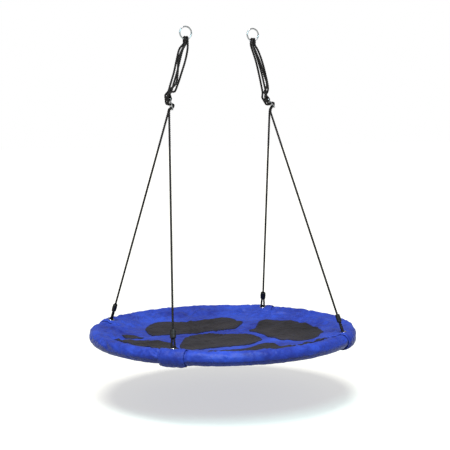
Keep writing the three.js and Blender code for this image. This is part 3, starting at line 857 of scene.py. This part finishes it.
def band_gap(c, ang):
    """Distance along the rim from the nearest band's edge, in metres; below 0 under a band."""
    best = np.full(np.broadcast(c, ang).shape, 9.0)
    r = np.maximum(np.interp(c, sec_c, sec[:, 0]), 0.05)
    half = band_half(c)
    for a in BAND_A:
        d = np.abs((ang - a + math.pi) % TAU - math.pi) * r - half
        best = np.minimum(best, d)
    return best


C_FLAP = c_at_radius(0.40)


def band_half(c):
    return 0.052 + (0.076 - 0.052) * smooth(np.clip((c - 0.010) / (C_FLAP - 0.010), 0, 1)) * 1.0


HOLE_AT = [((math.atan2(C["n"][2], C["n"] @ C["r"]) - math.pi / 2) * SKIN_R, C["angle"] + C["slant"] * 0.0285 / RIM_R) for C in corner.values()]


def by_hole(c, ang):
    """1 where a grommet clamps the cloth flat, 0 away from it."""
    near = np.zeros(np.broadcast(c, ang).shape)
    for ch, ah in HOLE_AT:
        ds = ((ang - ah + math.pi) % TAU - math.pi) * RIM_R
        near = np.maximum(near, np.exp(-((ds**2 + (c - ch) ** 2) / 0.021**2) ** 2))
    return near


def cloth_moves(c, ang):
    """How the rim's and border's cloth stands proud: crinkles along the rim, soft folds on the border, puckers beside the bands."""
    s = ang * RIM_R
    x, y = np.cos(ang), np.sin(ang)
    on_rim = smooth((0.055 - c) / 0.03)              # 1 on the rim, 0 on the seat
    # long diagonal crinkles, periodic round the rim because they are read on a circle
    k = RIM_R / 0.036
    n1 = N1(x * k + c * 14, y * k - c * 11, c / 0.050)
    n2 = N2(x * k * 2.1 - c * 30, y * k * 2.1 + c * 26, c / 0.030 + 5)
    n3 = N3(x * k * 4.2, y * k * 4.2, c / 0.014 + 9)
    calm = 0.55 + 0.85 * smooth(0.5 + 1.1 * N4(x * 5 + 2, y * 5, c / 0.07))      # some stretches lie smooth
    slanted = N2(s / 0.075 * 0 + x * 9 + c * 22, y * 9 - c * 17, c / 0.022 + 2)
    rim = calm * (0.0024 * ridged(n1) + 0.0013 * n2 + 0.0030 * slanted) + 0.0003 * n3 - 0.0014
    # border: folds that run in from the rim
    kb = RIM_R / 0.085
    b1 = N3(x * kb + 3, y * kb, c / 0.16)
    b2 = N4(x * kb * 2.3 + c * 9, y * kb * 2.3, c / 0.10 + 3)
    b3 = N1(x * kb * 1.3 + c * 20, y * kb * 1.3 - c * 15, c / 0.09 + 7)
    border = (0.0050 * ridged(b1) + 0.0016 * b2 + 0.0040 * ridged(b3)) * (0.25 + 0.75 * smooth((C_FLAP + 0.02 - c) / 0.05))
    border = border * (1.15 + 0.75 * smooth(0.3 + 0.8 * y))
    w = rim * on_rim + border * (1 - on_rim) * smooth((c - 0.0) / 0.03)
    # gathers beside each band
    g = band_gap(c, ang)
    near = np.exp(-((g - 0.006) / 0.020) ** 2) * (g > -0.01)
    gathers = near * 0.0014 * np.cos(c / 0.0070 + 3.0 * N2(c / 0.03, ang * 9)) - 0.0040 * np.exp(-(g / 0.006) ** 2)
    calm_below = 0.4 + 0.6 * smooth((c + 0.055) / 0.03)
    return (w * calm_below + gathers * smooth((0.10 - np.abs(c)) / 0.04)) * (1 - by_hole(c, ang))


FOLDS = [((0.330, 0.100), (0.250, -0.250), 0.0042), ((0.070, -0.020), (-0.190, -0.120), 0.0034), ((-0.160, 0.050), (-0.060, -0.250), 0.0036),
         ((0.020, 0.130), (0.080, 0.320), 0.0030), ((-0.180, 0.110), (-0.060, 0.300), 0.0030), ((-0.420, -0.060), (-0.290, -0.200), 0.0030)]


def seat_moves(xy):
    """Creases of the seat's cloth: pulled lines between the panels' corners, puckers along seams."""
    x, y = xy[:, 0], xy[:, 1]
    r = np.hypot(x, y)
    d, s = seam_distance(xy)
    a = math.radians(24)
    u, v = x * math.cos(a) + y * math.sin(a), -x * math.sin(a) + y * math.cos(a)
    w = 0.0052 * (ridged(N1(u / 0.34, v / 0.12, 2.5)) - 0.5)
    w += 0.0020 * N2(u / 0.22 + 4, v / 0.085, 1.5)
    w += 0.0003 * N3(x / 0.035, y / 0.035, 3.0)
    w -= 0.0010 * np.exp(-(d / 0.013) ** 2)
    for (ax, ay), (bx, by), deep in FOLDS:            # straight folds where the cloth hangs in two planes
        ex, ey = bx - ax, by - ay
        L = math.hypot(ex, ey)
        t = ((x - ax) * ex + (y - ay) * ey) / L**2
        q = ((x - ax) * ey - (y - ay) * ex) / L
        w -= deep * smooth(t / 0.15) * smooth((1 - t) / 0.15) * np.exp(-(q / 0.012) ** 2)
    w += 0.0002 * np.exp(-(d / 0.020) ** 2) * np.cos(s / 0.0048 + 3.0 * N4(x / 0.05, y / 0.05))
    fade = smooth((0.475 - r) / 0.05)
    return w * fade


def open_hole(P, F, uv, base=None):
    """Opens a round hole in a grid of cloth wherever a grommet goes through it."""
    P = P.copy()
    F = np.asarray(F)
    uvf = np.asarray(uv).reshape(len(F), -1, 2)
    dead = np.zeros(len(F), bool)
    for foot, n in HOLES:
        rel = P - foot
        h = rel @ n
        flat = rel - h[:, None] * n
        rho = np.linalg.norm(flat, axis=1)
        near = (h > 0.012) & (h < 0.05) & (rho < 0.024)
        if not near.any():
            continue
        fc = rho[F].max(1)
        kill = near[F].all(1) & (rho[F].mean(1) < 0.0072)
        dead |= kill
        edge = np.zeros(len(P), bool)
        edge[np.unique(F[kill])] = True
        inner = edge & ~np.isin(np.arange(len(P)), np.unique(F[~dead]))
        push = near & ~edge
        new = rho.copy()
        new[push] = 0.0125 + (np.clip(rho[push], 0.0085, None) - 0.0085) * (0.024 - 0.0125) / (0.024 - 0.0085)
        new[edge] = 0.0120
        ok = (near | edge) & (rho > 1e-6) & ~inner
        P[ok] = foot + h[ok, None] * n + flat[ok] * (new[ok] / rho[ok])[:, None]
    keep = ~dead
    F, uvf = F[keep], uvf[keep]
    used, back = np.unique(F, return_inverse=True)
    return P[used], back.reshape(F.shape), uvf.reshape(-1, 2)


def thicken(o, t, offset=-1.0):
    md = o.modifiers.new("cloth", "SOLIDIFY")
    md.thickness, md.offset = t, offset
    md.use_rim = True
    return o


def apply_modifiers(o):
    me = bpy.data.meshes.new_from_object(o.evaluated_get(bpy.context.evaluated_depsgraph_get()))
    old = o.data
    o.modifiers.clear()
    o.data = me
    bpy.data.meshes.remove(old)
    return o


def cloth_piece(name, V, F, uv, thick, material):
    o = recalc(make(name, V, F, uv))
    o.data.materials.append(material)
    # the cloth's outside looks up or out; solidify adds its inside
    me = o.data
    me.update()
    up_vote = sum(p.normal.z * p.area for p in me.polygons)
    if up_vote < 0:
        me.flip_normals()
    thicken(o, thick)
    bpy.context.view_layer.update()
    return apply_modifiers(o)


# ------------------------------------------------------------------ rim cover: the padded tube
nu, nv = 1020, 52
U = np.arange(nu) * TAU / nu
TH = np.arange(nv) * TAU / nv
A, T2 = np.meshgrid(U, TH, indexing="ij")
c = (np.mod(T2 - math.radians(90) + math.pi, TAU) - math.pi) * SKIN_R
moves = cloth_moves(c, A) * (1 - 0.75 * smooth((c - 0.030) / 0.025))      # the sleeve's inner side lies quiet under the seat
x, y = np.cos(A), np.sin(A)
seam_c = c_at_theta(-22)
fold = np.exp(-((c - seam_c - 0.0) / 0.0022) ** 2)
gath = np.exp(-((c - seam_c) / 0.010) ** 2) * 1.4 * N1(x * 55, y * 55, c / 0.02)
R = COVER_R - 0.0005 + np.maximum(moves, -0.0006) * 0.9 + 0.0010 * fold + 0.0004 * gath
P = np.stack([(RIM_R + R * np.cos(T2)) * np.cos(A), (RIM_R + R * np.cos(T2)) * np.sin(A), RIM_Z + R * np.sin(T2)], -1)
V, F, uv = grid(P, np.linspace(0, TAU * RIM_R, nu + 1), np.linspace(0, TAU * COVER_R, nv + 1), close_u=True, close_v=True)
V, F, uv = open_hole(V, F, uv)
o = recalc(make("rim_cover_cloth", V, F, uv))
place(o, "seat", "rim_cover", slot="blue_fabric", material=BLUE)

# ------------------------------------------------------------------ seat: one blue cloth from its seam below the rim, over it and across
c_lo = c_at_theta(-20)
n_ang = 720
cs = np.concatenate([np.arange(c_lo, c_at_radius(0.40), 0.0034), np.linspace(c_at_radius(0.40), c_at_radius(0.012), 95)])
ang = np.arange(n_ang) * TAU / n_ang
CC, AA = np.meshgrid(cs, ang, indexing="ij")
off = cloth_moves(CC, AA) * 1.0
lap = smooth((CC - c_lo) / 0.006)                    # its hem tucks in under the seam
P = skin(CC, AA, off * (0.35 + 0.65 * lap) + 0.0004 * lap)
flat_r = np.hypot(P[..., 0], P[..., 1])
inner = (CC > 0.03)
xy = P.reshape(-1, 3)[:, :2]
mv = np.zeros(len(xy))
sel = inner.reshape(-1)
mv[sel] = seat_moves(xy[sel])
under_panel = np.zeros(len(xy), bool)
for poly in outline.values():
    box = sel & (xy >= poly.min(0)).all(1) & (xy <= poly.max(0)).all(1)
    under_panel[box] |= inside(poly, xy[box])
deep = seam_distance(xy[under_panel])[0]
mv[under_panel] -= 0.0034 * smooth((deep + 0.0010) / 0.005)     # the blue lies under the grey
V0 = P.reshape(-1, 3)
V0[:, 2] += mv
rows = V0.reshape(P.shape)
V, F, uv = grid(rows, cs - c_lo, np.linspace(0, TAU * 0.5, n_ang + 1), close_v=True)
V = np.concatenate([V, [[0, 0, dish(0) + float(seat_moves(np.array([[0.0, 0.0]]))[0])]]])
uv = uv.tolist()
F = F.tolist()
mid = len(V) - 1
last = (len(cs) - 1) * n_ang
tri = []
for k in range(n_ang):
    tri.append([last + k, mid, last + (k + 1) % n_ang])
# planar uv, in metres, on the seat itself
Va = np.asarray(V)
uvq = []
for f in F:
    uvq += [[Va[i][0], Va[i][1]] for i in f]
uvq = np.array(uvq)
uv = np.array(uv)
on = (cs[np.minimum(np.asarray(F)[:, 0] // n_ang, len(cs) - 1)] > 0.06).repeat(4)
uv[on] = uvq[on]
Vh, Fh, uvh = open_hole(Va[:-1], np.asarray(F), uv)
# the hole keeps the points in order, so the middle point and its fan go back on
used = np.unique(np.asarray(F))
from_xy = {tuple(np.round(p, 7)): i for i, p in enumerate(Vh)}
ring_ids = [from_xy[tuple(np.round(Va[last + k], 7))] for k in range(n_ang)]
Vh = np.concatenate([Vh, [Va[mid]]])
Fh = Fh.tolist() + [[ring_ids[k], len(Vh) - 1, ring_ids[(k + 1) % n_ang]] for k in range(n_ang)]
uvh = np.concatenate([uvh, np.array([[[Vh[ring_ids[k]][0], Vh[ring_ids[k]][1]], [0, 0], [Vh[ring_ids[(k + 1) % n_ang]][0], Vh[ring_ids[(k + 1) % n_ang]][1]]] for k in range(n_ang)]).reshape(-1, 2)])
seat = cloth_piece("seat_cloth", Vh, Fh, uvh, 0.0009, BLUE)
place(seat, "seat", "seat_panel", slot="blue_fabric")


def seat_point(xy, raise_by):
    """A point on the seat's cloth above (x, y)."""
    xy = np.atleast_2d(xy)
    r, a = np.hypot(xy[:, 0], xy[:, 1]), np.arctan2(xy[:, 1], xy[:, 0])
    k = int(np.argmax(sec_c > 0.02))
    z = np.interp(r, sec[k:, 0][::-1], sec[k:, 1][::-1])
    c = np.interp(-r, -sec[k:, 0], sec_c[k:])
    z = z + cloth_moves(c, a) + seat_moves(xy) + 0.0004
    return np.column_stack([xy, z + raise_by])


def panel_mesh(poly, step):
    """A triangle mesh of the inside of an outline, with its points on an even lattice."""
    lo, hi = poly.min(0), poly.max(0)
    pts = []
    row = 0
    y = lo[1]
    while y <= hi[1]:
        xs = np.arange(lo[0] + (step / 2 if row % 2 else 0), hi[0], step)
        pts += [(x, y) for x in xs]
        y += step * 0.866
        row += 1
    pts = np.array(pts)
    pts = pts[inside(poly, pts)]
    d = np.array([np.min(np.hypot(*(poly - p).T)) for p in pts])
    pts = pts[d > step * 0.55]
    allp = [Vector((float(a), float(b))) for a, b in np.concatenate([poly, pts])]
    n = len(poly)
    edges = [(i, (i + 1) % n) for i in range(n)]
    v, e, f, *_ = delaunay_2d_cdt(allp, edges, [], 1, 1e-7)
    return np.array([(p.x, p.y) for p in v]), [list(q) for q in f]


def stitches(path, closed=True, length=0.0034, gap=0.0020, r=0.00036, lift=0.0001, surface=None):
    """Start, middle and end points of small stitches along a line, as three arrays."""
    pts = np.asarray(path)
    if closed:
        pts = np.concatenate([pts, pts[:1]])
    d = np.concatenate([[0], np.cumsum(np.linalg.norm(np.diff(pts, axis=0), axis=1))])
    V, F, uv = [], [], []
    n = int(d[-1] / (length + gap))
    at0 = np.arange(n) * d[-1] / n
    k = pts.shape[1]
    samples = []
    for frac in (0.0, 0.5, 1.0):
        samples.append(np.stack([np.interp(at0 + length * frac, d, pts[:, i]) for i in range(k)], 1))
    return samples


def stitch_mesh(A3, B3, C3, normal, r=0.00045):
    """Closed little thread loaves through three points each: rows of (n, 3) arrays."""
    n = len(A3)
    dirs = C3 - A3
    dirs /= np.maximum(np.linalg.norm(dirs, axis=1), 1e-9)[:, None]
    side = np.cross(dirs, normal)
    side /= np.maximum(np.linalg.norm(side, axis=1), 1e-9)[:, None]
    rows = []
    for c, k, lift in ((A3, 0.35, -0.0002), (A3 * 0.75 + B3 * 0.25, 0.9, 0.0001), (B3, 1.0, 0.0003), (C3 * 0.75 + B3 * 0.25, 0.9, 0.0001), (C3, 0.35, -0.0002)):
        for a in (0, 90, 180, 270):
            q = math.radians(a)
            rows.append(c + side * r * k * math.cos(q) + normal * (r * k * math.sin(q) + lift))
    V = np.stack(rows, 1).reshape(-1, 3)
    base = np.arange(n)[:, None] * 20
    quads = []
    for i in range(4):
        for j in range(4):
            quads.append([i * 4 + j, i * 4 + (j + 1) % 4, (i + 1) * 4 + (j + 1) % 4, (i + 1) * 4 + j])
    quads.append([3, 2, 1, 0])
    quads.append([16, 17, 18, 19])
    F = (base[:, :, None] + np.array(quads)[None]).reshape(-1, 4)
    return V, F


all_stitch = []
for key, poly in outline.items():
    P2, F2 = panel_mesh(poly, 0.0046)
    d, _ = seam_distance(P2)
    P3 = seat_point(P2, 0.0)
    P3[:, 2] += 0.0007 * (1 - np.exp(-(d / 0.004) ** 2)) + 0.0012
    uvp = np.array([[P2[i][0], P2[i][1]] for f in F2 for i in f])
    o = cloth_piece(f"grey_panel_{key}", P3, F2, uvp, 0.0008, GREY)
    place(o, "seat", slot="seat_fabric")
    # a row of stitches just inside the edge
    area = 0.5 * np.sum(poly[:, 0] * np.roll(poly[:, 1], -1) - np.roll(poly[:, 0], -1) * poly[:, 1])
    tang = np.roll(poly, -1, 0) - np.roll(poly, 1, 0)
    tang /= np.linalg.norm(tang, axis=1)[:, None]
    nin = np.stack([-tang[:, 1], tang[:, 0]], 1) * (1 if area > 0 else -1)
    row = poly + nin * 0.0055
    a3, b3, c3 = stitches(row)
    lifts = 0.0007 * (1 - math.exp(-(0.0055 / 0.004) ** 2)) + 0.0015
    a3, b3, c3 = (seat_point(q, lifts) for q in (a3, b3, c3))
    all_stitch.append(stitch_mesh(a3, b3, c3, np.tile([0, 0, 1.0], (len(a3), 1))))
V, F, base = [], [], 0
for v, f in all_stitch:
    V.append(v)
    F.append(f + base)
    base += len(v)
o = recalc(make("seat_stitching", np.concatenate(V), np.concatenate(F)))
place(o, "seat", slot="seat_fabric", material=THREAD_DARK)

# ------------------------------------------------------------------ reinforcing bands: a doubled sleeve round the rim at each eyelet, with a flap sewn down on the border
band_parts = []
c_under = c_at_theta(-196)
for cname, C in corner.items():
    a0 = C["angle"]
    seed = {"front_left": 1.0, "back_left": 2.0, "front_right": 3.0, "back_right": 4.0}[cname]
    cs_b = np.arange(c_under, C_FLAP, 0.0026)
    ts = np.linspace(-1, 1, 61)
    CB, TB = np.meshgrid(cs_b, ts, indexing="ij")
    rr = np.interp(CB, sec_c, sec[:, 0])
    half = band_half(CB)
    AB = a0 + TB * half / rr
    base_move = cloth_moves(CB, AB)
    soft = N1(TB * 1.6 + seed * 7, CB / 0.045 + seed * 3, seed)
    soft2 = N2(TB * 4.0 + seed * 5, CB / 0.022 + seed, seed)
    puff = (1 - np.abs(TB) ** 4)
    under = smooth((-CB - 0.004) / 0.05)
    move = base_move * 0.5 + 0.0030 + puff * (0.0020 + 0.0024 * under + 0.0016 * ridged(soft) + 0.0010 * soft2)
    hem = np.exp(-((np.abs(TB) - 0.955) / 0.035) ** 2)
    move += 0.0019 * hem + 0.0006 * hem * np.cos(CB / 0.0030 + seed)
    flap_end = np.exp(-((CB - C_FLAP + 0.004) / 0.004) ** 2) * smooth((CB - 0.05) / 0.02)
    move += 0.0006 * flap_end
    clamp = by_hole(CB, AB)
    move = move * (1 - clamp) + 0.0008 * clamp
    tuck = smooth((CB - C_FLAP + 0.014) / 0.013)
    move = move * (1 - tuck) + (base_move - 0.0014) * tuck
    P = skin(CB, AB, move)
    on_seat = (CB > 0.03)
    flat_xy = P.reshape(-1, 3)[:, :2]
    mv = np.zeros(len(flat_xy))
    sel = on_seat.reshape(-1)
    mv[sel] = seat_moves(flat_xy[sel])
    Pz = P.reshape(-1, 3)
    Pz[:, 2] += mv
    V, F, uv = grid(Pz.reshape(P.shape), cs_b - c_under, ts * 0.06)
    V, F, uv = open_hole(V, F, uv)
    o = recalc(make(f"band_{cname}_sewn", V, F, uv))
    me = o.data
    me.update()
    hub = Vector(C["centre"])
    vote = 0.0
    for p in me.polygons:
        if (p.center - hub).length < 0.04:
            vote += (p.center - hub).dot(p.normal) * p.area
    if vote < 0:
        me.flip_normals()
    me.materials.append(BLUE)
    thicken(o, 0.0011)
    bpy.context.view_layer.update()
    apply_modifiers(o)
    place(o, "seat", f"reinforcing_band_{cname}", slot="blue_fabric")
    # stitches along both long edges
    segs = []
    for tside in (-0.90, 0.90):
        line_c = np.arange(c_under + 0.006, C_FLAP - 0.020, 0.0054)
        hb = band_half(line_c)

        def pt(cv, tv=tside):
            r_ = np.interp(cv, sec_c, sec[:, 0])
            a_ = a0 + tv * band_half(cv) / r_
            bm_ = cloth_moves(cv, a_) * 0.5 + 0.0022 + (1 - abs(tv) ** 4) * (0.0020 + 0.0024 * smooth((-cv - 0.004) / 0.05)
                  + 0.0016 * ridged(N1(tv * 1.6 + seed * 7, cv / 0.045 + seed * 3, seed)) + 0.0010 * N2(tv * 4.0 + seed * 5, cv / 0.022 + seed, seed))
            bm_ = bm_ + 0.0019 * math.exp(-((abs(tv) - 0.955) / 0.035) ** 2)
            q = skin(cv, a_, bm_ + 0.0003)
            w_ = np.zeros(len(q))
            s_ = cv > 0.03
            if s_.any():
                w_[s_] = seat_moves(q[s_][:, :2])
            q[:, 2] += w_
            nr, nz = np.interp(cv, sec_c, sec_n[:, 0]), np.interp(cv, sec_c, sec_n[:, 1])
            return q, np.stack([nr * np.cos(a_), nr * np.sin(a_), nz], -1)

        p0, nrm = pt(line_c)
        p1, _ = pt(line_c + 0.0016)
        p2, _ = pt(line_c + 0.0032)
        segs.append(stitch_mesh(p0, p1, p2, nrm))
    V, F, base = [], [], 0
    for v, f in segs:
        V.append(v)
        F.append(f + base)
        base += len(v)
    st = recalc(make(f"band_{cname}_stitching", np.concatenate(V), np.concatenate(F)))
    place(st, "seat", slot="blue_fabric", material=THREAD)
    me = o.data
    area = sum(p.area for p in me.polygons) / 2

# ------------------------------------------------------------------ what the cover hides keeps its CAD shape, with its own material
for name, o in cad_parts.items():
    if o.hide_render:
        continue
    o.data.materials.clear()
    if name.startswith("foam"):
        o.data.materials.append(FOAM)
    else:
        o.data.materials.append(ZINC)

# ------------------------------------------------------------------ floor, light
FLOOR_Z = -1.53
me = bpy.data.meshes.new("floor")
L = 60.0
me.from_pydata([(-L, -L, FLOOR_Z), (L, -L, FLOOR_Z), (L, L, FLOOR_Z), (-L, L, FLOOR_Z)], [], [(0, 1, 2, 3)])
floor = bpy.data.objects.new("floor", me)
scene.collection.objects.link(floor)
floor.visible_diffuse = False          # the pale floor catches the shadow but throws no light up
mat, nt, b = shader("pale_floor")
b.inputs["Base Color"].default_value = (0.53, 0.525, 0.47, 1)
b.inputs["Roughness"].default_value = 1.0
b.inputs["Specular IOR Level"].default_value = 0.0
b.inputs["Emission Color"].default_value = (1, 1, 1, 1)
b.inputs["Emission Strength"].default_value = 0.57
me.materials.append(mat)

world = bpy.data.worlds.new("studio")
scene.world = world
world.use_nodes = True
wn = world.node_tree
wn.nodes.clear()
wo = wn.nodes.new("ShaderNodeOutputWorld")
bg = wn.nodes.new("ShaderNodeBackground")
bg.inputs[0].default_value = (1, 1, 1, 1)
bg.inputs[1].default_value = 1.0
soft = wn.nodes.new("ShaderNodeBackground")
soft.inputs[0].default_value = (1.0, 1.0, 1.0, 1)
soft.inputs[1].default_value = 0.30
seen = wn.nodes.new("ShaderNodeLightPath")
choose = wn.nodes.new("ShaderNodeMixShader")
wn.links.new(seen.outputs["Is Camera Ray"], choose.inputs[0])
wn.links.new(soft.outputs[0], choose.inputs[1])
wn.links.new(bg.outputs[0], choose.inputs[2])
wn.links.new(choose.outputs[0], wo.inputs[0])


def sun(name, direction, strength, angle):
    d = bpy.data.lights.new(name, "SUN")
    d.energy, d.angle = strength, math.radians(angle)
    o = bpy.data.objects.new(name, d)
    scene.collection.objects.link(o)
    o.rotation_mode = "QUATERNION"
    o.rotation_quaternion = Vector(direction).to_track_quat("-Z", "Y")
    return o


def area(name, where, target, size, power):
    d = bpy.data.lights.new(name, "AREA")
    d.shape, d.size, d.energy = "DISK", size, power
    o = bpy.data.objects.new(name, d)
    scene.collection.objects.link(o)
    o.location = where
    o.rotation_mode = "QUATERNION"
    o.rotation_quaternion = (Vector(target) - Vector(where)).to_track_quat("-Z", "Y")
    return o


sun("top_light", (0.24, 0.30, -1.0), 3.0, 24)
area("front_light", (-0.7, -2.0, 0.7), (0, -0.4, -1.25), 1.0, 62).data.color = (0.60, 0.95, 1.0)

scene.view_settings.view_transform = "Standard"
scene.view_settings.look = "None"
scene.view_settings.exposure = 0.0
scene.view_settings.gamma = 1.0

bpy.context.view_layer.update()
